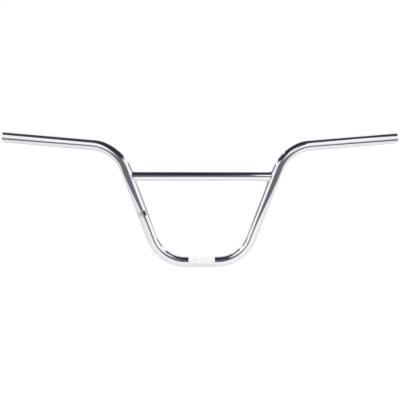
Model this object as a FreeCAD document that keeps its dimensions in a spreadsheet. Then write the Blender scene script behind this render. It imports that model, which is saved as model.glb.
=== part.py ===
import FreeCAD, Part
import math
import os

import Sketcher

# BMX handlebar: one bent main tube, a coped crossbar with a weld round each end, and two thin stickers.
# The origin is the middle of the stem clamp, on the tube's axis. X runs along the clamp, with +X to the
# rider's left, +Y is towards the rider and +Z is up. Lengths are in millimetres and angles in degrees.

SIZES = {
    "bar_width": 762.0,            # over the rims of the two open ends
    "bar_rise": 235.0,             # from the clamp axis up to the middles of the open ends
    "tube_diameter": 22.2,
    "tube_wall": 1.5,
    "clamp_length": 60.0,          # straight middle of the tube
    "lower_bend_radius": 68.0,     # on the centre line, as the upper one is
    "upper_bend_radius": 73.0,
    "leg_lean": 20.3,              # outwards from the vertical
    "backsweep": 11.0,
    "upsweep": 4.0,
    "end_chamfer": 0.5,            # on the rims of the open ends
    "crossbar_height": 164.0,      # from the clamp axis up to the crossbar axis
    "crossbar_diameter": 19.05,
    "crossbar_wall": 1.2,
    "vent_diameter": 5.0,          # hole from each leg into the crossbar, for welding and plating
    "weld_leg": 3.0,               # width of the weld on each of the two tubes
    "film_thickness": 0.06,        # of both stickers
    "film_wrap": 300.0,            # angle that they cover, with the open seam at the back
    "glue_thickness": 0.02,        # between them and the tube
    "label_length": 50.0,
    "band_height": 93.5,           # from the clamp axis up to the middle of the band, on the -X leg
    "band_length": 12.0,
}
CHAMFER_SHARE = 0.4                # the most of the wall that the chamfer of one rim may take
SAME_PLACE = 0.05                  # two points closer than this are the same
EDGE_POINTS = 9                    # points looked at along an edge
WELD_SIDES = {"left_weld": 1, "right_weld": -1}

X_WAY = FreeCAD.Vector(1, 0, 0)
Z_WAY = FreeCAD.Vector(0, 0, 1)
CENTRE = FreeCAD.Vector()

doc = FreeCAD.newDocument("bmx_handlebar")
sheet = doc.addObject("Spreadsheet::Sheet", "dims")
for row, (alias, value) in enumerate(SIZES.items(), start=1):
    sheet.set(f"A{row}", alias)
    sheet.set(f"B{row}", str(value))
    sheet.setAlias(f"B{row}", alias)
doc.recompute()


def size(alias):
    """The number that the sheet holds under an alias."""
    return float(sheet.get(alias))


def bind(target, **expressions):
    """Tie properties of an object to cells of the sheet."""
    for name, expression in expressions.items():
        target.setExpression(name, expression)


def origin_plane(body, role):
    """One of a body's own origin planes, by its role."""
    return next(plane for plane in body.Origin.OriginFeatures if plane.Role == role)


def new_sketch(body, name, role, offset=FreeCAD.Placement()):
    """A sketch on one of the body's origin planes, moved by an offset in that plane's frame."""
    sketch = body.newObject("Sketcher::SketchObject", name)
    sketch.AttachmentSupport = [(origin_plane(body, role), "")]
    sketch.MapMode = "FlatFace"
    sketch.AttachmentOffset = offset
    return sketch


def dimension(sketch, name, expression, *constraint):
    """Add a named dimension to a sketch and bind it to the sheet."""
    index = sketch.addConstraint(Sketcher.Constraint(*constraint))
    sketch.renameConstraint(index, name)
    sketch.setExpression(f"Constraints.{name}", expression)


def frame_at(point, heading, towards):
    """A placement at a point, with X along the heading and Y turned from it towards another direction."""
    side = heading.cross(towards).normalize()
    return FreeCAD.Placement(point, FreeCAD.Rotation(heading, side.cross(heading), side, "XYZ"))


def boolean(kind, name, base, tool):
    """A Part boolean of two objects."""
    result = doc.addObject(kind, name)
    result.Base = base
    result.Tool = tool
    doc.recompute()
    return result


# Centre line of the +X half, worked out from the driving sizes
lean = math.radians(size("leg_lean"))
back = math.radians(size("backsweep"))
rise = math.radians(size("upsweep"))
leg_way = FreeCAD.Vector(math.sin(lean), 0, math.cos(lean))
grip_way = FreeCAD.Vector(math.cos(rise) * math.cos(back), math.cos(rise) * math.sin(back), math.sin(rise))
lower_turn = X_WAY.getAngle(leg_way)
upper_turn = leg_way.getAngle(grip_way)
lower_tangent = size("lower_bend_radius") * math.tan(lower_turn / 2)
upper_tangent = size("upper_bend_radius") * math.tan(upper_turn / 2)
lower_corner = X_WAY * (size("clamp_length") / 2 + lower_tangent)
end_x = size("bar_width") / 2 - size("tube_diameter") / 2 * math.sqrt(1 - grip_way.x ** 2)
end_z = size("bar_rise")
past_leg_line = end_x - lower_corner.x - end_z * math.tan(lean)
grip_reach = past_leg_line / (grip_way.x - grip_way.z * math.tan(lean))
leg_reach = (end_z - grip_reach * grip_way.z) / leg_way.z
leg_straight = leg_reach - lower_tangent - upper_tangent
grip_straight = grip_reach - upper_tangent
leg_middle = lower_corner + leg_way * (lower_tangent + leg_straight / 2)

# Each bend of that half: its starting frame, the straight before it, its radius, its turn, the straight after
BENDS = {
    "lower": (frame_at(CENTRE, X_WAY, leg_way), size("clamp_length") / 2,
              "lower_bend_radius", lower_turn, leg_straight / 2),
    "upper": (frame_at(leg_middle, leg_way, grip_way), leg_straight / 2,
              "upper_bend_radius", upper_turn, grip_straight),
}


def bend_path(body, name, frame, lead, radius_alias, turn, run):
    """Sketch a straight, a tangent arc and a straight in the frame's XY plane, from its origin along X."""
    path = new_sketch(body, name, "XY_Plane", frame)
    radius = size(radius_alias)
    bend_start = X_WAY * lead
    bend_centre = FreeCAD.Vector(lead, radius, 0)
    bend_end = bend_centre + FreeCAD.Vector(math.sin(turn), -math.cos(turn), 0) * radius
    run_end = bend_end + FreeCAD.Vector(math.cos(turn), math.sin(turn), 0) * run
    bend_circle = Part.Circle(bend_centre, Z_WAY, radius)
    lead_line = path.addGeometry(Part.LineSegment(CENTRE, bend_start))
    arc = path.addGeometry(Part.ArcOfCircle(bend_circle, -math.pi / 2, turn - math.pi / 2))
    run_line = path.addGeometry(Part.LineSegment(bend_end, run_end))
    path.addConstraint(Sketcher.Constraint("Coincident", lead_line, 1, -1, 1))
    path.addConstraint(Sketcher.Constraint("Horizontal", lead_line))
    path.addConstraint(Sketcher.Constraint("Tangent", lead_line, 2, arc, 1))
    path.addConstraint(Sketcher.Constraint("Tangent", arc, 2, run_line, 1))
    path.addConstraint(Sketcher.Constraint("Distance", lead_line, lead))
    path.addConstraint(Sketcher.Constraint("Distance", run_line, run))
    path.addConstraint(Sketcher.Constraint("Angle", run_line, turn))
    dimension(path, "bend", f"dims.{radius_alias}", "Radius", arc, radius)
    return path


def bent_rod(name, diameter):
    """A round rod bent to the bar's centre line: two bends swept on the +X side, and mirrored to -X."""
    body = doc.addObject("PartDesign::Body", name)
    across_path = FreeCAD.Placement(CENTRE, FreeCAD.Rotation(Z_WAY, X_WAY))
    runs = []
    for bend, (frame, lead, radius_alias, turn, run) in BENDS.items():
        path = bend_path(body, f"{name}_{bend}_path", frame, lead, radius_alias, turn, run)
        section = new_sketch(body, f"{name}_{bend}_section", "XY_Plane", frame.multiply(across_path))
        ring = section.addGeometry(Part.Circle(CENTRE, Z_WAY, size("tube_diameter") / 2))
        section.addConstraint(Sketcher.Constraint("Coincident", ring, 3, -1, 1))
        dimension(section, "across", diameter, "Diameter", ring, size("tube_diameter"))
        doc.recompute()
        sweep = body.newObject("PartDesign::AdditivePipe", f"{name}_{bend}_run")
        sweep.Profile = section
        sweep.Spine = (path, ["Edge1", "Edge2", "Edge3"])
        runs.append(sweep)
        doc.recompute()
    pair = body.newObject("PartDesign::Mirrored", f"{name}_pair")
    pair.Originals = runs
    pair.MirrorPlane = (origin_plane(body, "YZ_Plane"), [""])
    body.Tip = pair
    doc.recompute()
    return body


# Rods along X, from leg axis to leg axis, at the crossbar's height
half_span = lower_corner.x + size("crossbar_height") * math.tan(lean)
SPAN = ("dims.clamp_length + 2 * dims.lower_bend_radius * tan(45deg - dims.leg_lean * 0.5deg)"
        " + 2 * dims.crossbar_height * tan(dims.leg_lean * 1deg)")


def level_rod(name, radius):
    """A round rod along X between the leg axes, at the crossbar's height."""
    rod = doc.addObject("Part::Cylinder", name)
    bind(rod, Radius=radius, Height=SPAN)
    start = FreeCAD.Vector(-half_span, 0, size("crossbar_height"))
    rod.Placement = FreeCAD.Placement(start, FreeCAD.Rotation(Z_WAY, X_WAY))
    return rod


def chamfer_rims(name, tube):
    """Break the inner and outer rims of the tube's two open ends."""
    rims = [index for index, edge in enumerate(tube.Shape.Edges, start=1)
            if isinstance(edge.Curve, Part.Circle) and abs(abs(edge.Curve.Center.x) - end_x) < SAME_PLACE]
    leg = min(size("end_chamfer"), CHAMFER_SHARE * size("tube_wall"))
    broken = doc.addObject("Part::Chamfer", name)
    broken.Base = tube
    broken.Edges = [(index, leg, leg) for index in rims]
    doc.recompute()
    return broken


def round_crossbar(edge):
    """Whether every point of an edge lies on the crossbar's outside."""
    axis_point = FreeCAD.Vector(0, 0, size("crossbar_height"))
    radius = size("crossbar_diameter") / 2
    return all(abs(point.distanceToLine(axis_point, X_WAY) - radius) < SAME_PLACE
               for point in edge.discretize(EDGE_POINTS))


def weld(name, core, side):
    """The weld round the crossbar on one side: a flat face across the corner, less the two tubes."""
    corner = [index for index, edge in enumerate(core.Shape.Edges, start=1)
              if edge.CenterOfMass.x * side > SAME_PLACE and round_crossbar(edge)]
    filled = doc.addObject("Part::Chamfer", f"{name}_fill")
    filled.Base = core
    filled.Edges = [(index, size("weld_leg"), size("weld_leg")) for index in corner]
    doc.recompute()
    return boolean("Part::Cut", name, filled, core)


def wrap_film(name, length):
    """A film wrapped round a tube that lies along X, open at the back and padded both ways from the middle."""
    body = doc.addObject("PartDesign::Body", name)
    sketch = new_sketch(body, f"{name}_section", "YZ_Plane")
    inner = size("tube_diameter") / 2 + size("glue_thickness")
    outer = inner + size("film_thickness")
    half_gap = math.pi - math.radians(size("film_wrap")) / 2
    first = FreeCAD.Vector(math.cos(half_gap), math.sin(half_gap), 0)
    last = FreeCAD.Vector(math.cos(half_gap), -math.sin(half_gap), 0)
    arcs = [sketch.addGeometry(Part.ArcOfCircle(Part.Circle(CENTRE, Z_WAY, radius), half_gap, -half_gap))
            for radius in (inner, outer)]
    edges = [sketch.addGeometry(Part.LineSegment(way * inner, way * outer)) for way in (first, last)]
    for arc in arcs:
        sketch.addConstraint(Sketcher.Constraint("Coincident", arc, 3, -1, 1))
    for end, edge in enumerate(edges, start=1):
        sketch.addConstraint(Sketcher.Constraint("Coincident", edge, 1, arcs[0], end))
        sketch.addConstraint(Sketcher.Constraint("Coincident", edge, 2, arcs[1], end))
    sketch.addConstraint(Sketcher.Constraint("Angle", edges[0], half_gap))
    sketch.addConstraint(Sketcher.Constraint("Angle", edges[1], -half_gap))
    inside = "dims.tube_diameter / 2 + dims.glue_thickness"
    dimension(sketch, "inside", inside, "Radius", arcs[0], inner)
    dimension(sketch, "outside", f"{inside} + dims.film_thickness", "Radius", arcs[1], outer)
    pad = body.newObject("PartDesign::Pad", f"{name}_pad")
    pad.Profile = sketch
    pad.Midplane = True
    bind(pad, Length=length)
    doc.recompute()
    return body


# The main tube, hollow, with a vent into the crossbar through each leg
tube_rod = bent_rod("tube_rod", "dims.tube_diameter")
bore_rod = bent_rod("bore_rod", "dims.tube_diameter - 2 * dims.tube_wall")
vent_drill = level_rod("vent_drill", "dims.vent_diameter / 2")
hollow_tube = boolean("Part::Cut", "hollow_tube", tube_rod, bore_rod)
vented_tube = boolean("Part::Cut", "vented_tube", hollow_tube, vent_drill)
main_tube = chamfer_rims("main_tube", vented_tube)

# The crossbar, hollow, coped to the legs
crossbar_rod = level_rod("crossbar_rod", "dims.crossbar_diameter / 2")
crossbar_bore = level_rod("crossbar_bore", "dims.crossbar_diameter / 2 - dims.crossbar_wall")
crossbar_blank = boolean("Part::Cut", "crossbar_blank", crossbar_rod, crossbar_bore)
crossbar = boolean("Part::Cut", "crossbar", crossbar_blank, tube_rod)

# The welds, in the corner between the two tubes
joint_core = boolean("Part::Fuse", "joint_core", tube_rod, crossbar_rod)
crossbar_welds = doc.addObject("Part::Compound", "crossbar_welds")
crossbar_welds.Links = [weld(name, joint_core, side) for name, side in WELD_SIDES.items()]
doc.recompute()

# The stickers: a label round the clamp, open at the back, and a narrow band round the -X leg
clamp_label = wrap_film("clamp_label", "dims.label_length")
leg_band = wrap_film("leg_band", "dims.band_length")
band_x = lower_corner.x + size("band_height") * math.tan(lean)
band_place = FreeCAD.Vector(-band_x, 0, size("band_height"))
band_way = FreeCAD.Vector(-leg_way.x, 0, leg_way.z)
leg_band.Placement = FreeCAD.Placement(band_place, FreeCAD.Rotation(X_WAY, band_way))
doc.recompute()

# Check every object, and write one file for each piece
failed = [item.Name for item in doc.Objects if {"Invalid", "Error"} & set(item.State)]
if failed:
    raise RuntimeError(f"not built: {failed}")
os.makedirs("parts", exist_ok=True)
SOLIDS = {main_tube: 1, crossbar: 1, crossbar_welds: len(WELD_SIDES), clamp_label: 1, leg_band: 1}
for piece, count in SOLIDS.items():
    piece.Label = piece.Name
    shape = piece.Shape
    if shape.isNull() or not shape.isValid() or len(shape.Solids) != count:
        raise RuntimeError(f"{piece.Label} is not sound")
    shape.exportStep(f"parts/{piece.Label}.step")
    print(piece.Label, round(shape.Volume, 2), [round(value, 2) for value in (
        shape.BoundBox.XMin, shape.BoundBox.XMax, shape.BoundBox.YMin,
        shape.BoundBox.YMax, shape.BoundBox.ZMin, shape.BoundBox.ZMax)])
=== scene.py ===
"""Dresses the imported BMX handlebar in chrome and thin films, and sets it in a plain pale studio."""

import logging
import math
from dataclasses import dataclass
from enum import Enum
from typing import Any

import bmesh
import bpy
from mathutils import Matrix, Vector


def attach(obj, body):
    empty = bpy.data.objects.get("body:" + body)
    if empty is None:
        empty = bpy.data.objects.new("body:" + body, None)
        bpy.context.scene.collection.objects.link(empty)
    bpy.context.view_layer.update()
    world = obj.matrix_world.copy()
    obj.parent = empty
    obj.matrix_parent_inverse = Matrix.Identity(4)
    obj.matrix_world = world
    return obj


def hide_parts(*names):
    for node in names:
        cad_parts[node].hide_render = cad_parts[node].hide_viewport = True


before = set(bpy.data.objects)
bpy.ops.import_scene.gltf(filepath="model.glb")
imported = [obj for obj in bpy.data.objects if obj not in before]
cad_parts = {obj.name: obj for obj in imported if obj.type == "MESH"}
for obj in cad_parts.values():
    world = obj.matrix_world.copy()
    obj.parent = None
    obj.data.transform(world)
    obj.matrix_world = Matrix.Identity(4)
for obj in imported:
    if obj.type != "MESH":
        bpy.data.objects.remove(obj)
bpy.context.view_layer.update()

Colour = tuple[float, float, float, float]
Triple = tuple[float, float, float]
Pair = tuple[float, float]
Socket = bpy.types.NodeSocket
Point = bmesh.types.BMVert

MM = 0.001
MERGE = 0.001 * MM         # points closer than this become one
BODY = "root"
STRAIGHT = "straight"      # vertex attribute: where a point was before the tube was bent
SKIN = "skin"              # UV map, 0 to 1: along a film and round it, or across a card and up it
CREASE = math.radians(40)  # edges that fold more than this stay crisp
X_WAY = Vector((1, 0, 0)).freeze()
WHITE = (1.0, 1.0, 1.0, 1.0)
LOG = logging.getLogger("handlebar")


class Slot(Enum):
    """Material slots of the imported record."""

    TUBE = "tube_chrome"
    WELD = "weld_chrome"
    LABEL = "label_film"
    BAND = "band_film"


class Tone(Enum):
    """Shades of the studio's cards."""

    INK = (0.026, 0.0245, 0.037, 1.0)
    DUSK = (0.05, 0.048, 0.06, 1.0)
    SHADE = (0.093, 0.090, 0.112, 1.0)
    SLATE = (0.155, 0.150, 0.185, 1.0)
    ROOM = (0.155, 0.154, 0.172, 1.0)
    HAZE = (0.22, 0.22, 0.235, 1.0)
    BRIGHT = WHITE


class NodeBench:
    """Adds linked nodes to one node tree."""

    MIX_INPUTS = (0, 6, 7)     # a colour Mix node's factor and two colours
    MIX_OUTPUT = 2

    def __init__(self, tree: bpy.types.NodeTree) -> None:
        """Clear the tree and work on it.

        Args:
            tree: The node tree.
        """
        self.tree = tree
        tree.nodes.clear()

    def add(self, kind: str, sockets: dict[Any, Any] | None = None, **settings: Any) -> bpy.types.Node:
        """Add one node.

        Args:
            kind: The node's type name.
            sockets: Input names or numbers, each with a value or with an output to link.
            settings: Properties of the node itself.

        Returns:
            The new node.
        """
        node = self.tree.nodes.new(kind)
        for name, value in settings.items():
            setattr(node, name, value)
        for key, value in (sockets or {}).items():
            if isinstance(value, Socket):
                self.tree.links.new(value, node.inputs[key])
            else:
                node.inputs[key].default_value = value
        return node

    def math(self, operation: str, first: Any, second: Any = 0.0, third: Any = 0.0) -> Socket:
        """Add a Math node.

        Args:
            operation: The node's operation.
            first: A value or an output, and so are the other two.
            second: The second operand.
            third: The third operand.

        Returns:
            The node's output.
        """
        return self.add("ShaderNodeMath", {0: first, 1: second, 2: third}, operation=operation).outputs[0]

    def vector(self, operation: str, first: Any, second: Triple = (0.0, 0.0, 0.0)) -> Socket:
        """Add a Vector Math node.

        Args:
            operation: The node's operation.
            first: A vector output.
            second: The second operand, where the operation has one.

        Returns:
            The node's output, which is a number for a length or a dot product.
        """
        node = self.add("ShaderNodeVectorMath", {0: first, 1: second}, operation=operation)
        return node.outputs["Value" if operation in ("LENGTH", "DOT_PRODUCT") else "Vector"]

    def spread(self, value: Any, low: float, high: float,
               to_low: float = 0.0, to_high: float = 1.0) -> Socket:
        """Map a range of a value smoothly to another range, clamped.

        Args:
            value: The value.
            low: Lower end of its range.
            high: Upper end of its range.
            to_low: What the lower end becomes.
            to_high: What the upper end becomes.

        Returns:
            The mapped value.
        """
        sockets = {"Value": value, "From Min": low, "From Max": high, "To Min": to_low, "To Max": to_high}
        return self.add("ShaderNodeMapRange", sockets, interpolation_type="SMOOTHSTEP").outputs["Result"]

    def tint(self, factor: Any, first: Any, second: Any) -> Socket:
        """Mix two colours.

        Args:
            factor: From 0 for the first colour to 1 for the second.
            first: The first colour.
            second: The second colour.

        Returns:
            The mixed colour.
        """
        sockets = dict(zip(self.MIX_INPUTS, (factor, first, second)))
        return self.add("ShaderNodeMix", sockets, data_type="RGBA").outputs[self.MIX_OUTPUT]

    def noise(self, place: Socket, scale: Triple, detail: float = 2.0) -> Socket:
        """Sample noise.

        Args:
            place: Where to sample it.
            scale: How fine it is along each axis, per metre.
            detail: Its detail.

        Returns:
            A value from 0 to 1.
        """
        sockets = {"Vector": self.vector("MULTIPLY", place, scale), "Scale": 1.0, "Detail": detail}
        return self.add("ShaderNodeTexNoise", sockets).outputs[0]

    def inside(self, value: Socket, middle: float, half: float, soft: float) -> Socket:
        """Find where a value is near a middle.

        Args:
            value: The value.
            middle: The middle.
            half: How far from it still counts.
            soft: Half width of the soft edge.

        Returns:
            1 where it is near and 0 elsewhere.
        """
        off = self.math("ABSOLUTE", self.math("SUBTRACT", value, middle))
        return self.spread(off, half - soft, half + soft, 1.0, 0.0)

    def object_place(self) -> Socket:
        """Return the place in the object's own frame."""
        return self.add("ShaderNodeTexCoord").outputs["Object"]

    def skin(self) -> tuple[Socket, Socket]:
        """Return the two coordinates of the SKIN map."""
        split = self.add("ShaderNodeSeparateXYZ", {0: self.add("ShaderNodeUVMap", uv_map=SKIN).outputs[0]})
        return split.outputs[0], split.outputs[1]

    def surface(self, colour: Any, metal: Any, rough: Any, height: Socket, relief: Pair) -> None:
        """Finish a material with a principled surface and a fine bump.

        Args:
            colour: Base colour.
            metal: How metallic it is.
            rough: Its roughness.
            height: Height of the bump.
            relief: Strength and depth of the bump.
        """
        strength, depth = relief
        bump = self.add("ShaderNodeBump", {"Strength": strength, "Distance": depth, "Height": height})
        shader = self.add("ShaderNodeBsdfPrincipled", {
            "Base Color": colour, "Metallic": metal, "Roughness": rough, "Normal": bump.outputs[0]})
        self.add("ShaderNodeOutputMaterial", {"Surface": shader.outputs[0]})


def new_material(name: str) -> tuple[bpy.types.Material, NodeBench]:
    """Make an empty node material.

    Args:
        name: The material's name.

    Returns:
        The material, and a bench on its node tree.
    """
    material = bpy.data.materials.new(name)
    material.use_nodes = True
    return material, NodeBench(material.node_tree)


@dataclass(frozen=True)
class Wear:
    """One kind of fine mark in the plating."""

    scale: Triple                  # noise per metre along the tube and across it
    detail: float
    low: float                     # noise under this leaves no mark
    high: float                    # noise over this leaves a full one
    share: float                   # part in the plating's wear
    height: float = 0.0            # part in the bump


HAZE_CLOUDS = Wear((38.0, 70.0, 70.0), 4.0, 0.45, 0.8, 0.6)
POLISH_RINGS = Wear((2600.0, 55.0, 55.0), 3.0, 0.5, 0.78, 0.25, 0.3)
DRAWN_LINES = Wear((22.0, 1900.0, 1900.0), 2.0, 0.68, 0.8, 0.3, 0.3)


@dataclass(frozen=True)
class Chrome:
    """Bright plating over polished steel, with a faint haze, polish lines and an unplated bore."""

    name: str
    bore: float                    # radius of the bare inner wall
    pale: Colour = (0.92, 0.918, 0.95, 1.0)
    deep: Colour = (0.885, 0.883, 0.92, 1.0)
    gloss: float = 0.045           # roughness of the clean plating
    haze: float = 0.05             # added where it is worn
    steel: Colour = (0.36, 0.35, 0.345, 1.0)
    steel_metal: float = 0.4
    steel_rough: float = 0.45      # added where it is bare
    bore_margin: float = 0.1 * MM  # how far over the bore's radius still counts as bare
    wears: tuple[Wear, ...] = (HAZE_CLOUDS, POLISH_RINGS, DRAWN_LINES)
    relief: Pair = (0.03, 0.05 * MM)

    def make(self) -> bpy.types.Material:
        """Build the material and return it."""
        material, bench = new_material(self.name)
        place = bench.add("ShaderNodeAttribute", attribute_name=STRAIGHT).outputs["Vector"]
        worn: Any = 0.0
        height: Any = 0.0
        for wear in self.wears:
            noise = bench.noise(place, wear.scale, wear.detail)
            worn = bench.math("MULTIPLY_ADD", bench.spread(noise, wear.low, wear.high), wear.share, worn)
            height = bench.math("MULTIPLY_ADD", noise, wear.height, height)
        radius = bench.vector("LENGTH", bench.vector("MULTIPLY", place, (0, 1, 1)))
        bare = bench.math("LESS_THAN", radius, self.bore + self.bore_margin)
        colour = bench.tint(bare, bench.tint(worn, self.pale, self.deep), self.steel)
        plated_rough = bench.math("MULTIPLY_ADD", worn, self.haze, self.gloss)
        rough = bench.math("MULTIPLY_ADD", bare, self.steel_rough, plated_rough)
        metal = bench.math("MULTIPLY_ADD", bare, self.steel_metal - 1.0, 1.0)
        bench.surface(colour, metal, rough, height, self.relief)
        return material


@dataclass(frozen=True)
class WeldChrome:
    """The same plating over a weld: a little duller, with fine pores."""

    name: str = "weld_chrome"
    pale: Colour = (0.89, 0.888, 0.92, 1.0)
    pore: Colour = (0.5, 0.5, 0.52, 1.0)
    gloss: float = 0.06
    dull: float = 0.1              # roughness added by the grain
    grain_scale: Triple = (900.0, 900.0, 900.0)
    pore_scale: Triple = (1700.0, 1700.0, 1700.0)
    pore_range: Pair = (0.64, 0.74)
    relief: Pair = (0.08, 0.1 * MM)

    def make(self) -> bpy.types.Material:
        """Build the material and return it."""
        material, bench = new_material(self.name)
        place = bench.object_place()
        grain = bench.noise(place, self.grain_scale, 3.0)
        pores = bench.spread(bench.noise(place, self.pore_scale), *self.pore_range)
        colour = bench.tint(pores, self.pale, self.pore)
        rough = bench.math("MULTIPLY_ADD", grain, self.dull, self.gloss)
        bench.surface(colour, 1.0, rough, grain, self.relief)
        return material


@dataclass(frozen=True)
class Patch:
    """A plain printed mark on a film: its middle and half size, along the tube and round it."""

    along: float
    half_along: float
    around: float
    half_around: float


@dataclass(frozen=True)
class PrintedFilm:
    """A thin film with a few plain printed marks, a fine paper-like grain, a random mottle and painted shade
    along both cut edges.
    """

    name: str
    base: Colour
    # darker colour: used for the random mottle, and as painted shade along both cut edges
    mottle_and_edge_shade: Colour
    ink: Colour
    patches: tuple[Patch, ...]
    length: float                  # along the tube
    girth: float                   # round it
    ink_cover: float
    rough: float
    metallic: float = 0.0
    grain_scale: Triple = (1500.0, 1500.0, 1500.0)
    grain_rough: float = 0.12
    cloud_scale: Triple = (90.0, 90.0, 90.0)
    cloud_range: Pair = (0.4, 0.75)
    ink_soft: float = 0.25 * MM    # soft edge of the marks
    edge_shade_width: float = 0.35 * MM         # width of the painted shade strip along both cut edges
    edge_shade_soft: float = 0.2 * MM
    relief: Pair = (0.05, 0.03 * MM)

    def make(self) -> bpy.types.Material:
        """Build the material and return it."""
        material, bench = new_material(self.name)
        along, around = (bench.math("MULTIPLY", bench.math("SUBTRACT", share, 0.5), span)
                         for share, span in zip(bench.skin(), (self.length, self.girth)))
        place = bench.object_place()
        grain = bench.noise(place, self.grain_scale, 3.0)
        cloud = bench.spread(bench.noise(place, self.cloud_scale, 3.0), *self.cloud_range)
        colour = bench.tint(cloud, self.base, self.mottle_and_edge_shade)
        for patch in self.patches:
            cover = bench.math("MULTIPLY", bench.inside(along, patch.along, patch.half_along, self.ink_soft),
                               bench.inside(around, patch.around, patch.half_around, self.ink_soft))
            colour = bench.tint(bench.math("MULTIPLY", cover, self.ink_cover), colour, self.ink)
        # painted shade: a strip along both cut edges takes the darker colour
        body = bench.inside(along, 0.0, self.length / 2 - self.edge_shade_width, self.edge_shade_soft)
        colour = bench.tint(body, self.mottle_and_edge_shade, colour)
        rough = bench.math("MULTIPLY_ADD", grain, self.grain_rough, self.rough)
        bench.surface(colour, self.metallic, rough, grain, self.relief)
        return material


def place_mesh(mesh: bmesh.types.BMesh, name: str, material: bpy.types.Material) -> bpy.types.Object:
    """Turn a finished bmesh into an object of the scene.

    Args:
        mesh: The finished shape, in metres. It is freed.
        name: The object's name.
        material: The object's finish.

    Returns:
        The new object.
    """
    data = bpy.data.meshes.new(name)
    mesh.to_mesh(data)
    mesh.free()
    data.materials.append(material)
    placed = bpy.data.objects.new(name, data)
    bpy.context.scene.collection.objects.link(placed)
    return placed


def set_piece(mesh: bmesh.types.BMesh, name: str, node: str,
              material: bpy.types.Material) -> bpy.types.Object:
    """Turn a finished bmesh into a piece that rides on the bar and stands for a CAD node.

    Args:
        mesh: The finished shape, in metres, in the row frame. It is freed.
        name: The piece's name.
        node: The CAD node that the piece stands for.
        material: The piece's finish.

    Returns:
        The new object.
    """
    for face in mesh.faces:
        face.smooth = True
    for edge in mesh.edges:
        edge.smooth = edge.calc_face_angle(0.0) < CREASE
    piece = place_mesh(mesh, name, material)
    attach(piece, BODY)
    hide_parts(node)
    LOG.info("%s: %d faces, stands for %s", name, len(piece.data.polygons), node)
    return piece


def new_points(made: dict[str, Any], key: str = "geom") -> list[Point]:
    """Pick the points out of what a bmesh operator made.

    Args:
        made: What the operator returned.
        key: The entry that lists the new parts.

    Returns:
        The points, in the operator's order.
    """
    return [part for part in made[key] if isinstance(part, Point)]


def edges_among(verts: list[Point]) -> list[bmesh.types.BMEdge]:
    """Find the edges that join points of a list.

    Args:
        verts: The points.

    Returns:
        The edges, in the points' order.
    """
    members = set(verts)
    near = dict.fromkeys(edge for vert in verts for edge in vert.link_edges)
    return [edge for edge in near if members.issuperset(edge.verts)]


@dataclass(frozen=True)
class BarLine:
    """Centre line of the main tube's +X half, from the middle of the clamp to the open end."""

    half_width: float = 381 * MM   # to the far side of the open end's rim
    rise: float = 235 * MM
    half_clamp: float = 30 * MM
    lower_radius: float = 68 * MM
    upper_radius: float = 73 * MM
    lean: float = math.radians(20.3)
    backsweep: float = math.radians(11)
    upsweep: float = math.radians(4)
    tube_radius: float = 11.1 * MM

    @property
    def leg_way(self) -> Vector:
        """Direction up the leg."""
        return Vector((math.sin(self.lean), 0, math.cos(self.lean)))

    @property
    def grip_way(self) -> Vector:
        """Direction out along the grip."""
        level = math.cos(self.upsweep)
        return Vector((level * math.cos(self.backsweep), level * math.sin(self.backsweep),
                       math.sin(self.upsweep)))

    @property
    def lower_turn(self) -> float:
        """Angle of the lower bend."""
        return math.pi / 2 - self.lean

    @property
    def upper_turn(self) -> float:
        """Angle of the upper bend."""
        return self.leg_way.angle(self.grip_way)

    @property
    def lower_tangent(self) -> float:
        """Length from the lower corner to where its bend starts."""
        return self.lower_radius * math.tan(self.lower_turn / 2)

    @property
    def upper_tangent(self) -> float:
        """Length from the upper corner to where its bend starts."""
        return self.upper_radius * math.tan(self.upper_turn / 2)

    @property
    def corner_x(self) -> float:
        """Where the leg's axis meets the clamp's."""
        return self.half_clamp + self.lower_tangent

    @property
    def end_x(self) -> float:
        """Where the middle of the open end lies along X."""
        return self.half_width - self.tube_radius * math.sqrt(1 - self.grip_way.x ** 2)

    @property
    def grip_reach(self) -> float:
        """Length from the upper corner to the open end."""
        past_leg = self.end_x - self.corner_x - self.rise * math.tan(self.lean)
        return past_leg / (self.grip_way.x - self.grip_way.z * math.tan(self.lean))

    @property
    def leg_straight(self) -> float:
        """Length of the leg between its bends."""
        reach = (self.rise - self.grip_reach * self.grip_way.z) / self.leg_way.z
        return reach - self.lower_tangent - self.upper_tangent

    @property
    def grip_straight(self) -> float:
        """Length of the grip past its bend."""
        return self.grip_reach - self.upper_tangent

    @property
    def foot(self) -> Vector:
        """The lower corner, which lies on the leg's axis."""
        return Vector((self.corner_x, 0, 0))

    def leg_face_x(self, across: float, height: float) -> float:
        """Where a line along X meets the inner side of the +X leg.

        Args:
            across: The line's Y.
            height: The line's Z.

        Returns:
            The X of the meeting point.
        """
        depth = math.sqrt(max(self.tube_radius ** 2 - across ** 2, 0.0))
        return self.corner_x + (height * math.sin(self.lean) - depth) / math.cos(self.lean)


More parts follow.
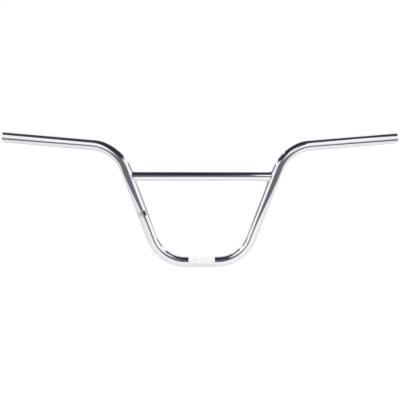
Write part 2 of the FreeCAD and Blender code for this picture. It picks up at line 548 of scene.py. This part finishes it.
class RingDraw:
    """A ring of edges that is drawn along straights and bends, leaving a tube wall behind it."""

    def __init__(self, mesh: bmesh.types.BMesh, radius: float, segments: int) -> None:
        """Start with a ring round X at the origin.

        Args:
            mesh: The mesh to draw in. It already has the STRAIGHT layer.
            radius: The ring's radius.
            segments: Edges round the ring.
        """
        self.mesh = mesh
        self.layer = mesh.verts.layers.float_vector[STRAIGHT]
        across = Matrix.Rotation(math.pi / 2, 4, "Y")
        self.verts = bmesh.ops.create_circle(mesh, segments=segments, radius=radius, matrix=across)["verts"]
        for vert in self.verts:
            vert[self.layer] = vert.co

    @property
    def edges(self) -> list[bmesh.types.BMEdge]:
        """Edges of the ring as it is now."""
        return edges_among(self.verts)

    def _go(self, verts: list[Point], gone: float) -> None:
        """Take the new ring and add to its run.

        Args:
            verts: The new ring.
            gone: Length drawn since the last ring.
        """
        self.verts = verts
        for vert in verts:
            vert[self.layer] = vert[self.layer] + X_WAY * gone

    def straight(self, way: Vector, length: float, steps: int) -> None:
        """Draw the ring along a straight.

        Args:
            way: Unit direction.
            length: Length of the straight.
            steps: Rings along it.
        """
        for _ in range(steps):
            verts = new_points(bmesh.ops.extrude_edge_only(self.mesh, edges=self.edges))
            bmesh.ops.translate(self.mesh, verts=verts, vec=way * (length / steps))
            self._go(verts, length / steps)

    def bend(self, centre: Vector, axis: Vector, angle: float, radius: float, steps: int) -> None:
        """Draw the ring round a bend.

        Args:
            centre: The bend's centre.
            axis: The bend's axis.
            angle: How far it turns.
            radius: Radius of the bend's centre line.
            steps: Rings along it.
        """
        for _ in range(steps):
            made = bmesh.ops.spin(self.mesh, geom=self.verts + self.edges, cent=centre, axis=axis,
                                  angle=angle / steps, steps=1, use_merge=False)
            self._go(new_points(made, "geom_last"), radius * angle / steps)


@dataclass(frozen=True)
class MainTube:
    """The bent main tube: an outer and an inner wall, joined at two open ends with broken rims."""

    line: BarLine
    wall: float = 1.5 * MM
    segments: int = 96
    clamp_steps: int = 4
    bend_steps: int = 36
    leg_steps: int = 12
    grip_steps: int = 14
    rim: float = 0.5 * MM
    rim_angle: float = math.radians(60)  # only the rims turn so sharply
    lip: float = 2.0 * MM          # last short length, so that the rim doesn't pull the long faces' shading
    tip_gap: float = 0.12 * MM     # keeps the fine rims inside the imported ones

    def _half_wall(self, mesh: bmesh.types.BMesh, radius: float) -> RingDraw:
        """Draw one wall of the +X half.

        Args:
            mesh: The mesh to draw in.
            radius: The wall's radius.

        Returns:
            The wall's last ring.
        """
        line = self.line
        ring = RingDraw(mesh, radius, self.segments)
        ring.straight(X_WAY, line.half_clamp, self.clamp_steps)
        ring.bend(Vector((line.half_clamp, 0, line.lower_radius)), Vector((0, -1, 0)),
                  line.lower_turn, line.lower_radius, self.bend_steps)
        ring.straight(line.leg_way, line.leg_straight, self.leg_steps)
        start = line.foot + line.leg_way * (line.lower_tangent + line.leg_straight)
        axis = line.leg_way.cross(line.grip_way).normalized()
        side = axis.cross(line.leg_way)
        ring.bend(start + side * line.upper_radius, axis,
                  line.upper_turn, line.upper_radius, self.bend_steps)
        ring.straight(line.grip_way, line.grip_straight - self.lip - self.tip_gap, self.grip_steps)
        ring.straight(line.grip_way, self.lip, 1)
        return ring

    def _end_face(self, mesh: bmesh.types.BMesh, rim: RingDraw) -> None:
        """Draw the flat end from the outer wall's last ring in to the inner wall's.

        Args:
            mesh: The mesh to draw in.
            rim: The outer wall's last ring.
        """
        verts = new_points(bmesh.ops.extrude_edge_only(mesh, edges=rim.edges))
        middle = sum((vert.co for vert in verts), Vector()) / len(verts)
        share = 1 - self.wall / self.line.tube_radius
        bmesh.ops.scale(mesh, verts=verts, vec=(share, share, share), space=Matrix.Translation(-middle))

    def build(self, finish: bpy.types.Material) -> bpy.types.Object:
        """Build both walls, mirror them, and close and break the rims.

        Args:
            finish: The tube's material.

        Returns:
            The piece.
        """
        mesh = bmesh.new()
        mesh.verts.layers.float_vector.new(STRAIGHT)
        self._end_face(mesh, self._half_wall(mesh, self.line.tube_radius))
        self._half_wall(mesh, self.line.tube_radius - self.wall)
        bmesh.ops.mirror(mesh, geom=mesh.verts[:] + mesh.edges[:] + mesh.faces[:],
                         matrix=Matrix.Identity(4), merge_dist=MERGE, axis="X")
        bmesh.ops.remove_doubles(mesh, verts=mesh.verts, dist=MERGE)
        bmesh.ops.recalc_face_normals(mesh, faces=mesh.faces)
        rims = [edge for edge in mesh.edges if edge.calc_face_angle(0.0) > self.rim_angle]
        bmesh.ops.bevel(mesh, geom=rims, offset=self.rim, segments=1, profile=0.5,
                        affect="EDGES", material=-1, clamp_overlap=True)
        return set_piece(mesh, "chrome_tube", "main_tube", finish)


@dataclass(frozen=True)
class Crossbar:
    """The straight crossbar, hollow, with both ends coped to the legs, and the weld beads round them."""

    line: BarLine
    height: float = 164 * MM
    radius: float = 9.525 * MM
    wall: float = 1.2 * MM
    segments: int = 96
    steps: int = 16
    weld_leg: float = 2.9 * MM
    weld_crown: float = -0.45 * MM  # below the straight face: the bead is hollow
    weld_ripple: float = 0.035 * MM
    weld_ripples: int = 28
    weld_lead: float = 2.2         # how far the ripples' middles run ahead of their edges, in radians
    weld_segments: int = 336
    weld_rings: int = 9
    sunk: float = 0.05 * MM        # how far the bead's edges lie under the tubes' skins
    root: float = 0.2 * MM         # how far its root lies inside the joint

    @property
    def reach(self) -> float:
        """X of the leg's face at the crossbar's axis."""
        return self.line.leg_face_x(0.0, self.height)

    @property
    def lift(self) -> Vector:
        """From the clamp's axis up to the crossbar's."""
        return Vector((0, 0, self.height))

    def _wall(self, mesh: bmesh.types.BMesh, radius: float) -> None:
        """Draw one wall along X and slide its two ends to the legs.

        Args:
            mesh: The mesh to draw in.
            radius: The wall's radius.
        """
        ring = RingDraw(mesh, radius, self.segments)
        ends = {-1: list(ring.verts)}
        ring.straight(X_WAY, 2 * self.reach, self.steps)
        ends[1] = list(ring.verts)
        for side, verts in ends.items():
            for vert in verts:
                vert.co.x = side * self.line.leg_face_x(vert.co.y, vert.co.z + self.height) + self.reach

    def build(self, finish: bpy.types.Material) -> bpy.types.Object:
        """Build both walls and close the coped ends.

        Args:
            finish: The crossbar's material.

        Returns:
            The piece.
        """
        mesh = bmesh.new()
        mesh.verts.layers.float_vector.new(STRAIGHT)
        for radius in (self.radius, self.radius - self.wall):
            self._wall(mesh, radius)
        bmesh.ops.translate(mesh, verts=mesh.verts, vec=self.lift - X_WAY * self.reach)
        rims = [edge for edge in mesh.edges if edge.is_boundary]
        for side in (1, -1):
            bmesh.ops.bridge_loops(mesh, edges=[edge for edge in rims if edge.verts[0].co.x * side > 0])
        bmesh.ops.recalc_face_normals(mesh, faces=mesh.faces)
        return set_piece(mesh, "chrome_crossbar", "crossbar", finish)

    def _sink(self, point: Vector, foot: Vector, way: Vector, radius: float) -> Vector:
        """Move a point straight to just under the skin of a tube.

        Args:
            point: The point to move.
            foot: A point on the tube's axis.
            way: The axis direction.
            radius: The tube's radius.

        Returns:
            The moved point.
        """
        on_axis = foot + way * (point - foot).dot(way)
        return on_axis + (point - on_axis).normalized() * (radius - self.sunk)

    def _bead_point(self, angle: float, share: float) -> Vector:
        """A point on the bead of the +X joint.

        Args:
            angle: Angle round the crossbar.
            share: From 0 on the crossbar to 1 on the leg.

        Returns:
            The point.
        """
        line = self.line
        bar_out = Vector((0, math.cos(angle), math.sin(angle)))
        joint = bar_out * self.radius + self.lift
        joint.x = line.leg_face_x(joint.y, joint.z)
        on_leg = line.foot + line.leg_way * (joint - line.foot).dot(line.leg_way)
        leg_out = (joint - on_leg).normalized()
        along_bar = (leg_out - bar_out * leg_out.dot(bar_out)).normalized()
        along_leg = (bar_out - leg_out * bar_out.dot(leg_out)).normalized()
        bar_edge = self._sink(joint + along_bar * self.weld_leg, self.lift, X_WAY, self.radius)
        leg_edge = self._sink(joint + along_leg * self.weld_leg, line.foot, line.leg_way, line.tube_radius)
        crown = math.sin(math.pi * share)
        wave = math.sin(self.weld_ripples * angle + self.weld_lead * crown)
        rise = self.weld_crown + self.weld_ripple * (1.0 - abs(wave)) - self.weld_ripple / 2
        return bar_edge.lerp(leg_edge, share) + (along_bar + along_leg).normalized() * crown * rise

    def _root_point(self, angle: float) -> Vector:
        """A point on the bead's root, inside the +X joint.

        Args:
            angle: Angle round the crossbar.

        Returns:
            The point.
        """
        place = Vector((0, math.cos(angle), math.sin(angle))) * (self.radius - self.root) + self.lift
        place.x = self.line.leg_face_x(place.y, place.z) + self.root
        return place

    def build_welds(self, finish: bpy.types.Material) -> bpy.types.Object:
        """Build the rippled bead round each end as a closed ring of rings.

        Args:
            finish: The welds' material.

        Returns:
            The piece.
        """
        mesh = bmesh.new()
        rings = [bmesh.ops.create_circle(mesh, segments=self.weld_segments, radius=self.radius)["verts"]]
        first = edges = list(mesh.edges)
        for _ in range(self.weld_rings):
            fresh = new_points(bmesh.ops.extrude_edge_only(mesh, edges=edges))
            edges = edges_among(fresh)
            inner = set(edges)
            partner = {edge.other_vert(vert): vert for vert in fresh for edge in vert.link_edges
                       if edge not in inner}
            rings.append([partner[vert] for vert in rings[-1]])
        bmesh.ops.bridge_loops(mesh, edges=first + edges)
        turns = [2 * math.pi * index / self.weld_segments for index in range(self.weld_segments)]
        for index, verts in enumerate(rings[:-1]):
            for turn, vert in zip(turns, verts):
                vert.co = self._bead_point(turn, index / (self.weld_rings - 1))
        for turn, vert in zip(turns, rings[-1]):
            vert.co = self._root_point(turn)
        bmesh.ops.recalc_face_normals(mesh, faces=mesh.faces)
        bmesh.ops.mirror(mesh, geom=mesh.verts[:] + mesh.edges[:] + mesh.faces[:],
                         matrix=Matrix.Identity(4), merge_dist=0.0, axis="X")
        bmesh.ops.recalc_face_normals(mesh, faces=mesh.faces)
        return set_piece(mesh, "weld_beads", "crossbar_welds", finish)


@dataclass(frozen=True)
class Film:
    """A thin film wrapped round the tube, open at the back."""

    name: str
    node: str
    slot: Slot
    middle: Vector
    way: Vector                    # along the tube under it
    length: float
    wrap: float = math.radians(300)
    radius: float = 11.12 * MM
    thickness: float = 0.06 * MM
    along_steps: int = 12
    round_steps: int = 120

    @property
    def girth(self) -> float:
        """Length round the tube."""
        return self.wrap * self.radius

    def build(self, finish: bpy.types.Material) -> bpy.types.Object:
        """Spin a line round the tube and thicken it outwards.

        Args:
            finish: The film's material.

        Returns:
            The piece.
        """
        mesh = bmesh.new()
        skin = mesh.loops.layers.uv.new(SKIN)
        ends = [mesh.verts.new((side * self.length / 2, -self.radius, 0)) for side in (-1, 1)]
        bmesh.ops.subdivide_edges(mesh, edges=[mesh.edges.new(ends)], cuts=self.along_steps - 1)
        bmesh.ops.rotate(mesh, verts=mesh.verts, cent=(0, 0, 0),
                         matrix=Matrix.Rotation(-self.wrap / 2, 3, "X"))
        bmesh.ops.spin(mesh, geom=mesh.verts[:] + mesh.edges[:], cent=(0, 0, 0), axis=X_WAY,
                       angle=self.wrap, steps=self.round_steps, use_merge=False)
        for face in mesh.faces:
            for loop in face.loops:
                place = loop.vert.co
                turn = math.atan2(-place.z, -place.y)
                loop[skin].uv = (place.x / self.length + 0.5, -turn / self.wrap + 0.5)
        bmesh.ops.recalc_face_normals(mesh, faces=mesh.faces)
        outward = sum(face.normal.yz.dot(face.calc_center_median().yz) for face in mesh.faces)
        if outward < 0:
            bmesh.ops.reverse_faces(mesh, faces=mesh.faces)
        bmesh.ops.solidify(mesh, geom=mesh.faces[:], thickness=-self.thickness)
        bmesh.ops.recalc_face_normals(mesh, faces=mesh.faces)
        swing = X_WAY.rotation_difference(self.way).to_matrix().to_4x4()
        bmesh.ops.transform(mesh, matrix=Matrix.Translation(self.middle) @ swing, verts=mesh.verts)
        return set_piece(mesh, self.name, self.node, finish)


def build_label() -> None:
    """Wrap the white label round the clamp section, with plain grey marks."""
    film = Film("label_sleeve", "clamp_label", Slot.LABEL, length=50 * MM,
                middle=Vector((0, 0, 0)), way=X_WAY)
    block = Patch(-12.5 * MM, 6.0 * MM, 6.4 * MM, 2.6 * MM)
    bar = Patch(4.0 * MM, 7.5 * MM, 6.4 * MM, 0.9 * MM)
    stripe = Patch(21.5 * MM, 0.5 * MM, 0.0, 18.0 * MM)
    film.build(PrintedFilm(
        "label_paper", base=(0.90, 0.90, 0.905, 1), mottle_and_edge_shade=(0.85, 0.85, 0.86, 1), ink=(0.55, 0.55, 0.57, 1),
        patches=(block, bar, stripe), length=film.length, girth=film.girth,
        ink_cover=0.35, rough=0.42).make())


def build_band(line: BarLine, height: float = 93.5 * MM) -> None:
    """Wrap the bright band round the -X leg, with plain dark marks.

    Args:
        line: The tube's centre line.
        height: The band's height above the clamp's axis.
    """
    film = Film("band_sleeve", "leg_band", Slot.BAND, length=12 * MM,
                middle=Vector((-line.corner_x - height * math.tan(line.lean), 0, height)),
                way=Vector((-line.leg_way.x, 0, line.leg_way.z)))
    block = Patch(0.0, 4.6 * MM, -4.2 * MM, 2.2 * MM)
    bar = Patch(0.5 * MM, 2.5 * MM, 3.6 * MM, 0.7 * MM)
    film.build(PrintedFilm(
        "band_film", base=(0.80, 0.80, 0.82, 1), mottle_and_edge_shade=(0.70, 0.70, 0.72, 1), ink=(0.03, 0.03, 0.035, 1),
        patches=(block, bar), length=film.length, girth=film.girth,
        ink_cover=0.95, rough=0.1, metallic=1.0).make())


@dataclass(frozen=True)
class Opening:
    """A four-cornered hole in a level card, with its corners on the axes through its middle."""

    middle_x: float
    half_width: float
    half_depth: float
    edge: Pair = (0.98, 1.1)  # where the soft edge starts and ends, as shares of the size


@dataclass(frozen=True)
class StudioCard:
    """A plain card beside the set, seen only in the metal: its middle, half sizes and shades."""

    name: str
    middle: Triple
    across: Triple
    up: Triple
    low: Tone
    high: Tone
    fade: tuple[float, float, float, float]  # share of the card that fades: left, right, bottom, top
    opening: Opening | None = None

    def _beyond(self, bench: NodeBench, opening: Opening) -> Socket:
        """Find where the card lies outside its opening.

        Args:
            bench: The bench of the card's material.
            opening: The opening.

        Returns:
            1 outside the opening and 0 in it.
        """
        off = bench.vector("SUBTRACT", bench.object_place(), (opening.middle_x, 0, 0))
        shares = (1 / opening.half_width, 1 / opening.half_depth, 0)
        reach = bench.vector("DOT_PRODUCT", bench.vector("ABSOLUTE", off), shares)
        return bench.spread(reach, *opening.edge)

    def _finish(self) -> bpy.types.Material:
        """A flat glow from the low shade to the high one, clear towards the edges."""
        material, bench = new_material(self.name)
        across, up = bench.skin()
        left, right, bottom, top = self.fade
        cover: Any = 1.0
        for value, near, far in ((across, left, right), (up, bottom, top)):
            if near:
                cover = bench.math("MULTIPLY", cover, bench.spread(value, 0.0, near))
            if far:
                cover = bench.math("MULTIPLY", cover, bench.spread(value, 1.0 - far, 1.0, 1.0, 0.0))
        if self.opening:
            cover = bench.math("MULTIPLY", cover, self._beyond(bench, self.opening))
        shade = bench.tint(up, self.low.value, self.high.value)
        glow = bench.add("ShaderNodeEmission", {"Color": shade, "Strength": 1.0}).outputs[0]
        clear = bench.add("ShaderNodeBsdfTransparent").outputs[0]
        mix = bench.add("ShaderNodeMixShader", {0: cover, 1: clear, 2: glow}).outputs[0]
        bench.add("ShaderNodeOutputMaterial", {"Surface": mix})
        return material

    def build(self) -> bpy.types.Object:
        """Build the card, seen by glossy rays alone, and return it."""
        across, up = Vector(self.across), Vector(self.up)
        place = Matrix.Translation(self.middle) @ Matrix(
            (across, up, across.cross(up).normalized())).transposed().to_4x4()
        mesh = bmesh.new()
        mesh.loops.layers.uv.new(SKIN)
        bmesh.ops.create_grid(mesh, x_segments=1, y_segments=1, size=1.0, matrix=place, calc_uvs=True)
        card = place_mesh(mesh, self.name, self._finish())
        card.visible_camera = False
        card.visible_diffuse = False
        card.visible_shadow = False
        card.visible_transmission = False
        card.visible_volume_scatter = False
        return card


CARDS = (
    StudioCard("front_card", (0.03, -1.7, 0.58), (0.54, 0, 0), (0, 0, 0.60), Tone.SLATE, Tone.SHADE,
               (0.09, 0.1, 0.0, 0.0)),
    StudioCard("front_veil", (0.36, -1.25, 1.15), (0.3, 0, 0), (0.05, 0, 1.05), Tone.HAZE, Tone.HAZE,
               (0.5, 0.15, 0.1, 0.1)),
    StudioCard("front_flag", (0.2, -1.5, 1.85), (0.82, 0, 0), (0, 0.2, 0.72), Tone.SHADE, Tone.INK,
               (0.1, 0.1, 0.0, 0.0)),
    StudioCard("left_hood", (-0.6, -0.4, 1.742), (0, 0, 1.1), (-0.6, 0, 0.312), Tone.INK, Tone.SHADE,
               (0.03, 0.0, 0.0, 0.15)),
    StudioCard("right_hood", (0.6, -0.4, 1.836), (0, 0, 1.1), (0.6, 0, 0.396), Tone.INK, Tone.SHADE,
               (0.03, 0.0, 0.0, 0.15)),
    StudioCard("ceiling_card", (0.65, -0.4, 2.6), (2.3, 0, 0), (0, 1.35, 0), Tone.INK, Tone.INK,
               (0.05, 0.09, 0.08, 0.22)),
    StudioCard("ceiling_tail", (0.06, 0.6, 2.62), (0.55, 0, 0), (0, 0.4, 0), Tone.INK, Tone.INK,
               (0.3, 0.3, 0.0, 0.4)),
    StudioCard("left_wall", (-1.8, -0.35, 2.1), (0, 1.1, 0), (0, 0, 0.55), Tone.DUSK, Tone.DUSK,
               (0.05, 0.25, 0.12, 0.0)),
    StudioCard("right_wall", (1.82, -0.25, 2.27), (0, 1.5, 0), (0, 0, 0.45), Tone.DUSK, Tone.DUSK,
               (0.05, 0.1, 0.12, 0.0)),
    StudioCard("left_flag", (-1.8, -0.3, 0.85), (0, 0.8, 0), (0, 0, 0.5), Tone.SHADE, Tone.SHADE,
               (0.3, 0.3, 0.25, 0.25)),
    StudioCard("right_flag", (1.8, 0.45, 0.85), (0, 1.0, 0), (0, 0, 0.5), Tone.HAZE, Tone.HAZE,
               (0.3, 0.3, 0.25, 0.25)),
    StudioCard("table_surround", (0.01, -1.765, -0.06), (1.15, 0, 0), (0, 1.735, 0), Tone.ROOM, Tone.ROOM,
               (0.17, 0.17, 0.0, 0.025), Opening(0.0, 0.66, 1.2)),
    StudioCard("low_card", (0.1, -1.75, 0.12), (1.05, 0, 0), (0, 0, 0.16), Tone.ROOM, Tone.ROOM,
               (0.14, 0.14, 0.0, 0.4)),
    StudioCard("glint_card", (0.215, -0.4, 0.36), (0.09, 0, 0), (0, 0, 0.13), Tone.BRIGHT, Tone.BRIGHT,
               (0.2, 0.2, 0.2, 0.2)),
)


@dataclass(frozen=True)
class Studio:
    """Pale floor, white surround, one soft lamp, and plain cards that draw the lines in the chrome."""

    cards: tuple[StudioCard, ...] = CARDS
    floor_z: float = -0.30
    floor_half: float = 9.0
    floor_paint: Colour = (0.86, 0.86, 0.87, 1.0)
    floor_lift: float = 0.62       # glow that makes the lit floor white to look at
    floor_lift_in_metal: float = 0.03
    surround: float = 1.0          # seen by the camera and in the metal
    fill: float = 0.62             # light from all round
    key_place: Triple = (0.4, -1.3, 2.0)
    key_aim: Triple = (0.0, 0.0, 0.1)
    key_power: float = 33.0
    key_size: float = 1.6

    def _surround(self) -> None:
        """Make the world: white to look at, softer as a light."""
        world = bpy.data.worlds.new("surround")
        bpy.context.scene.world = world
        world.use_nodes = True
        bench = NodeBench(world.node_tree)
        rays = bench.add("ShaderNodeLightPath").outputs
        seen = bench.math("MAXIMUM", rays["Is Camera Ray"],
                          bench.math("MAXIMUM", rays["Is Glossy Ray"], rays["Is Transmission Ray"]))
        lit, shown = (bench.add("ShaderNodeBackground", {"Color": WHITE, "Strength": strength}).outputs[0]
                      for strength in (self.fill, self.surround))
        mix = bench.add("ShaderNodeMixShader", {0: seen, 1: lit, 2: shown}).outputs[0]
        bench.add("ShaderNodeOutputWorld", {"Surface": mix})

    def _floor(self) -> None:
        """Make the pale floor, white to look at and still taking the shadow."""
        material, bench = new_material("pale_floor")
        rays = bench.add("ShaderNodeLightPath").outputs
        mirrored = bench.math("MAXIMUM", rays["Is Glossy Ray"], rays["Is Transmission Ray"])
        lift = bench.math("MULTIPLY_ADD", rays["Is Camera Ray"], self.floor_lift,
                          bench.math("MULTIPLY", mirrored, self.floor_lift_in_metal))
        paint = bench.add("ShaderNodeBsdfDiffuse", {"Color": self.floor_paint}).outputs[0]
        glow = bench.add("ShaderNodeEmission", {"Color": WHITE, "Strength": lift}).outputs[0]
        both = bench.add("ShaderNodeAddShader", {0: paint, 1: glow}).outputs[0]
        bench.add("ShaderNodeOutputMaterial", {"Surface": both})
        mesh = bmesh.new()
        bmesh.ops.create_grid(mesh, x_segments=8, y_segments=8, size=self.floor_half,
                              matrix=Matrix.Translation((0, 0, self.floor_z)))
        floor = place_mesh(mesh, "floor", material)

    def _lamp(self) -> None:
        """Hang the soft square lamp, which points at the bar and doesn't show in the metal."""
        data = bpy.data.lights.new("key_lamp", "AREA")
        data.energy = self.key_power
        data.size = self.key_size
        lamp = bpy.data.objects.new("key_lamp", data)
        lamp.location = self.key_place
        ahead = Vector(self.key_aim) - Vector(self.key_place)
        lamp.rotation_euler = ahead.to_track_quat("-Z", "Y").to_euler()
        lamp.visible_glossy = False
        bpy.context.scene.collection.objects.link(lamp)

    def build(self) -> None:
        """Build the surround, the floor, the lamp and the cards."""
        self._surround()
        self._floor()
        self._lamp()
        for card in self.cards:
            card.build()


@dataclass(frozen=True)
class PhotoCamera:
    """Camera at the photograph's viewing angle."""

    target: Triple = (0, 0, 0.115)
    distance: float = 1.6
    azimuth: float = math.radians(-1.96)
    elevation: float = math.radians(7.6)
    roll: float = math.radians(0.27)
    sensor: float = 36.0           # millimetres, as the lens
    lens: float = 75.8
    shift: Pair = (-0.0045, 0.0047)

    def build(self) -> None:
        """Build the camera and make it the scene's."""
        data = bpy.data.cameras.new("photo_camera")
        data.sensor_width = self.sensor
        data.lens = self.lens
        data.shift_x, data.shift_y = self.shift
        camera = bpy.data.objects.new("photo_camera", data)
        level = math.cos(self.elevation)
        ahead = Vector((-math.sin(self.azimuth) * level, math.cos(self.azimuth) * level,
                        -math.sin(self.elevation)))
        camera.location = Vector(self.target) - ahead * self.distance
        turn = ahead.to_track_quat("-Z", "Y").to_matrix() @ Matrix.Rotation(self.roll, 3, "Z")
        camera.rotation_euler = turn.to_euler()
        bpy.context.scene.collection.objects.link(camera)
        bpy.context.scene.camera = camera


def main() -> None:
    """Build the bar's pieces, then the studio and the camera."""
    logging.basicConfig(level=logging.INFO)
    line = BarLine()
    tube = MainTube(line)
    tube.build(Chrome("tube_chrome", line.tube_radius - tube.wall).make())
    crossbar = Crossbar(line)
    crossbar.build(Chrome("crossbar_chrome", crossbar.radius - crossbar.wall).make())
    crossbar.build_welds(WeldChrome().make())
    build_label()
    build_band(line)
    Studio().build()
    PhotoCamera().build()
    bpy.context.scene.view_settings.view_transform = "Standard"


if __name__ == "__main__":
    main()
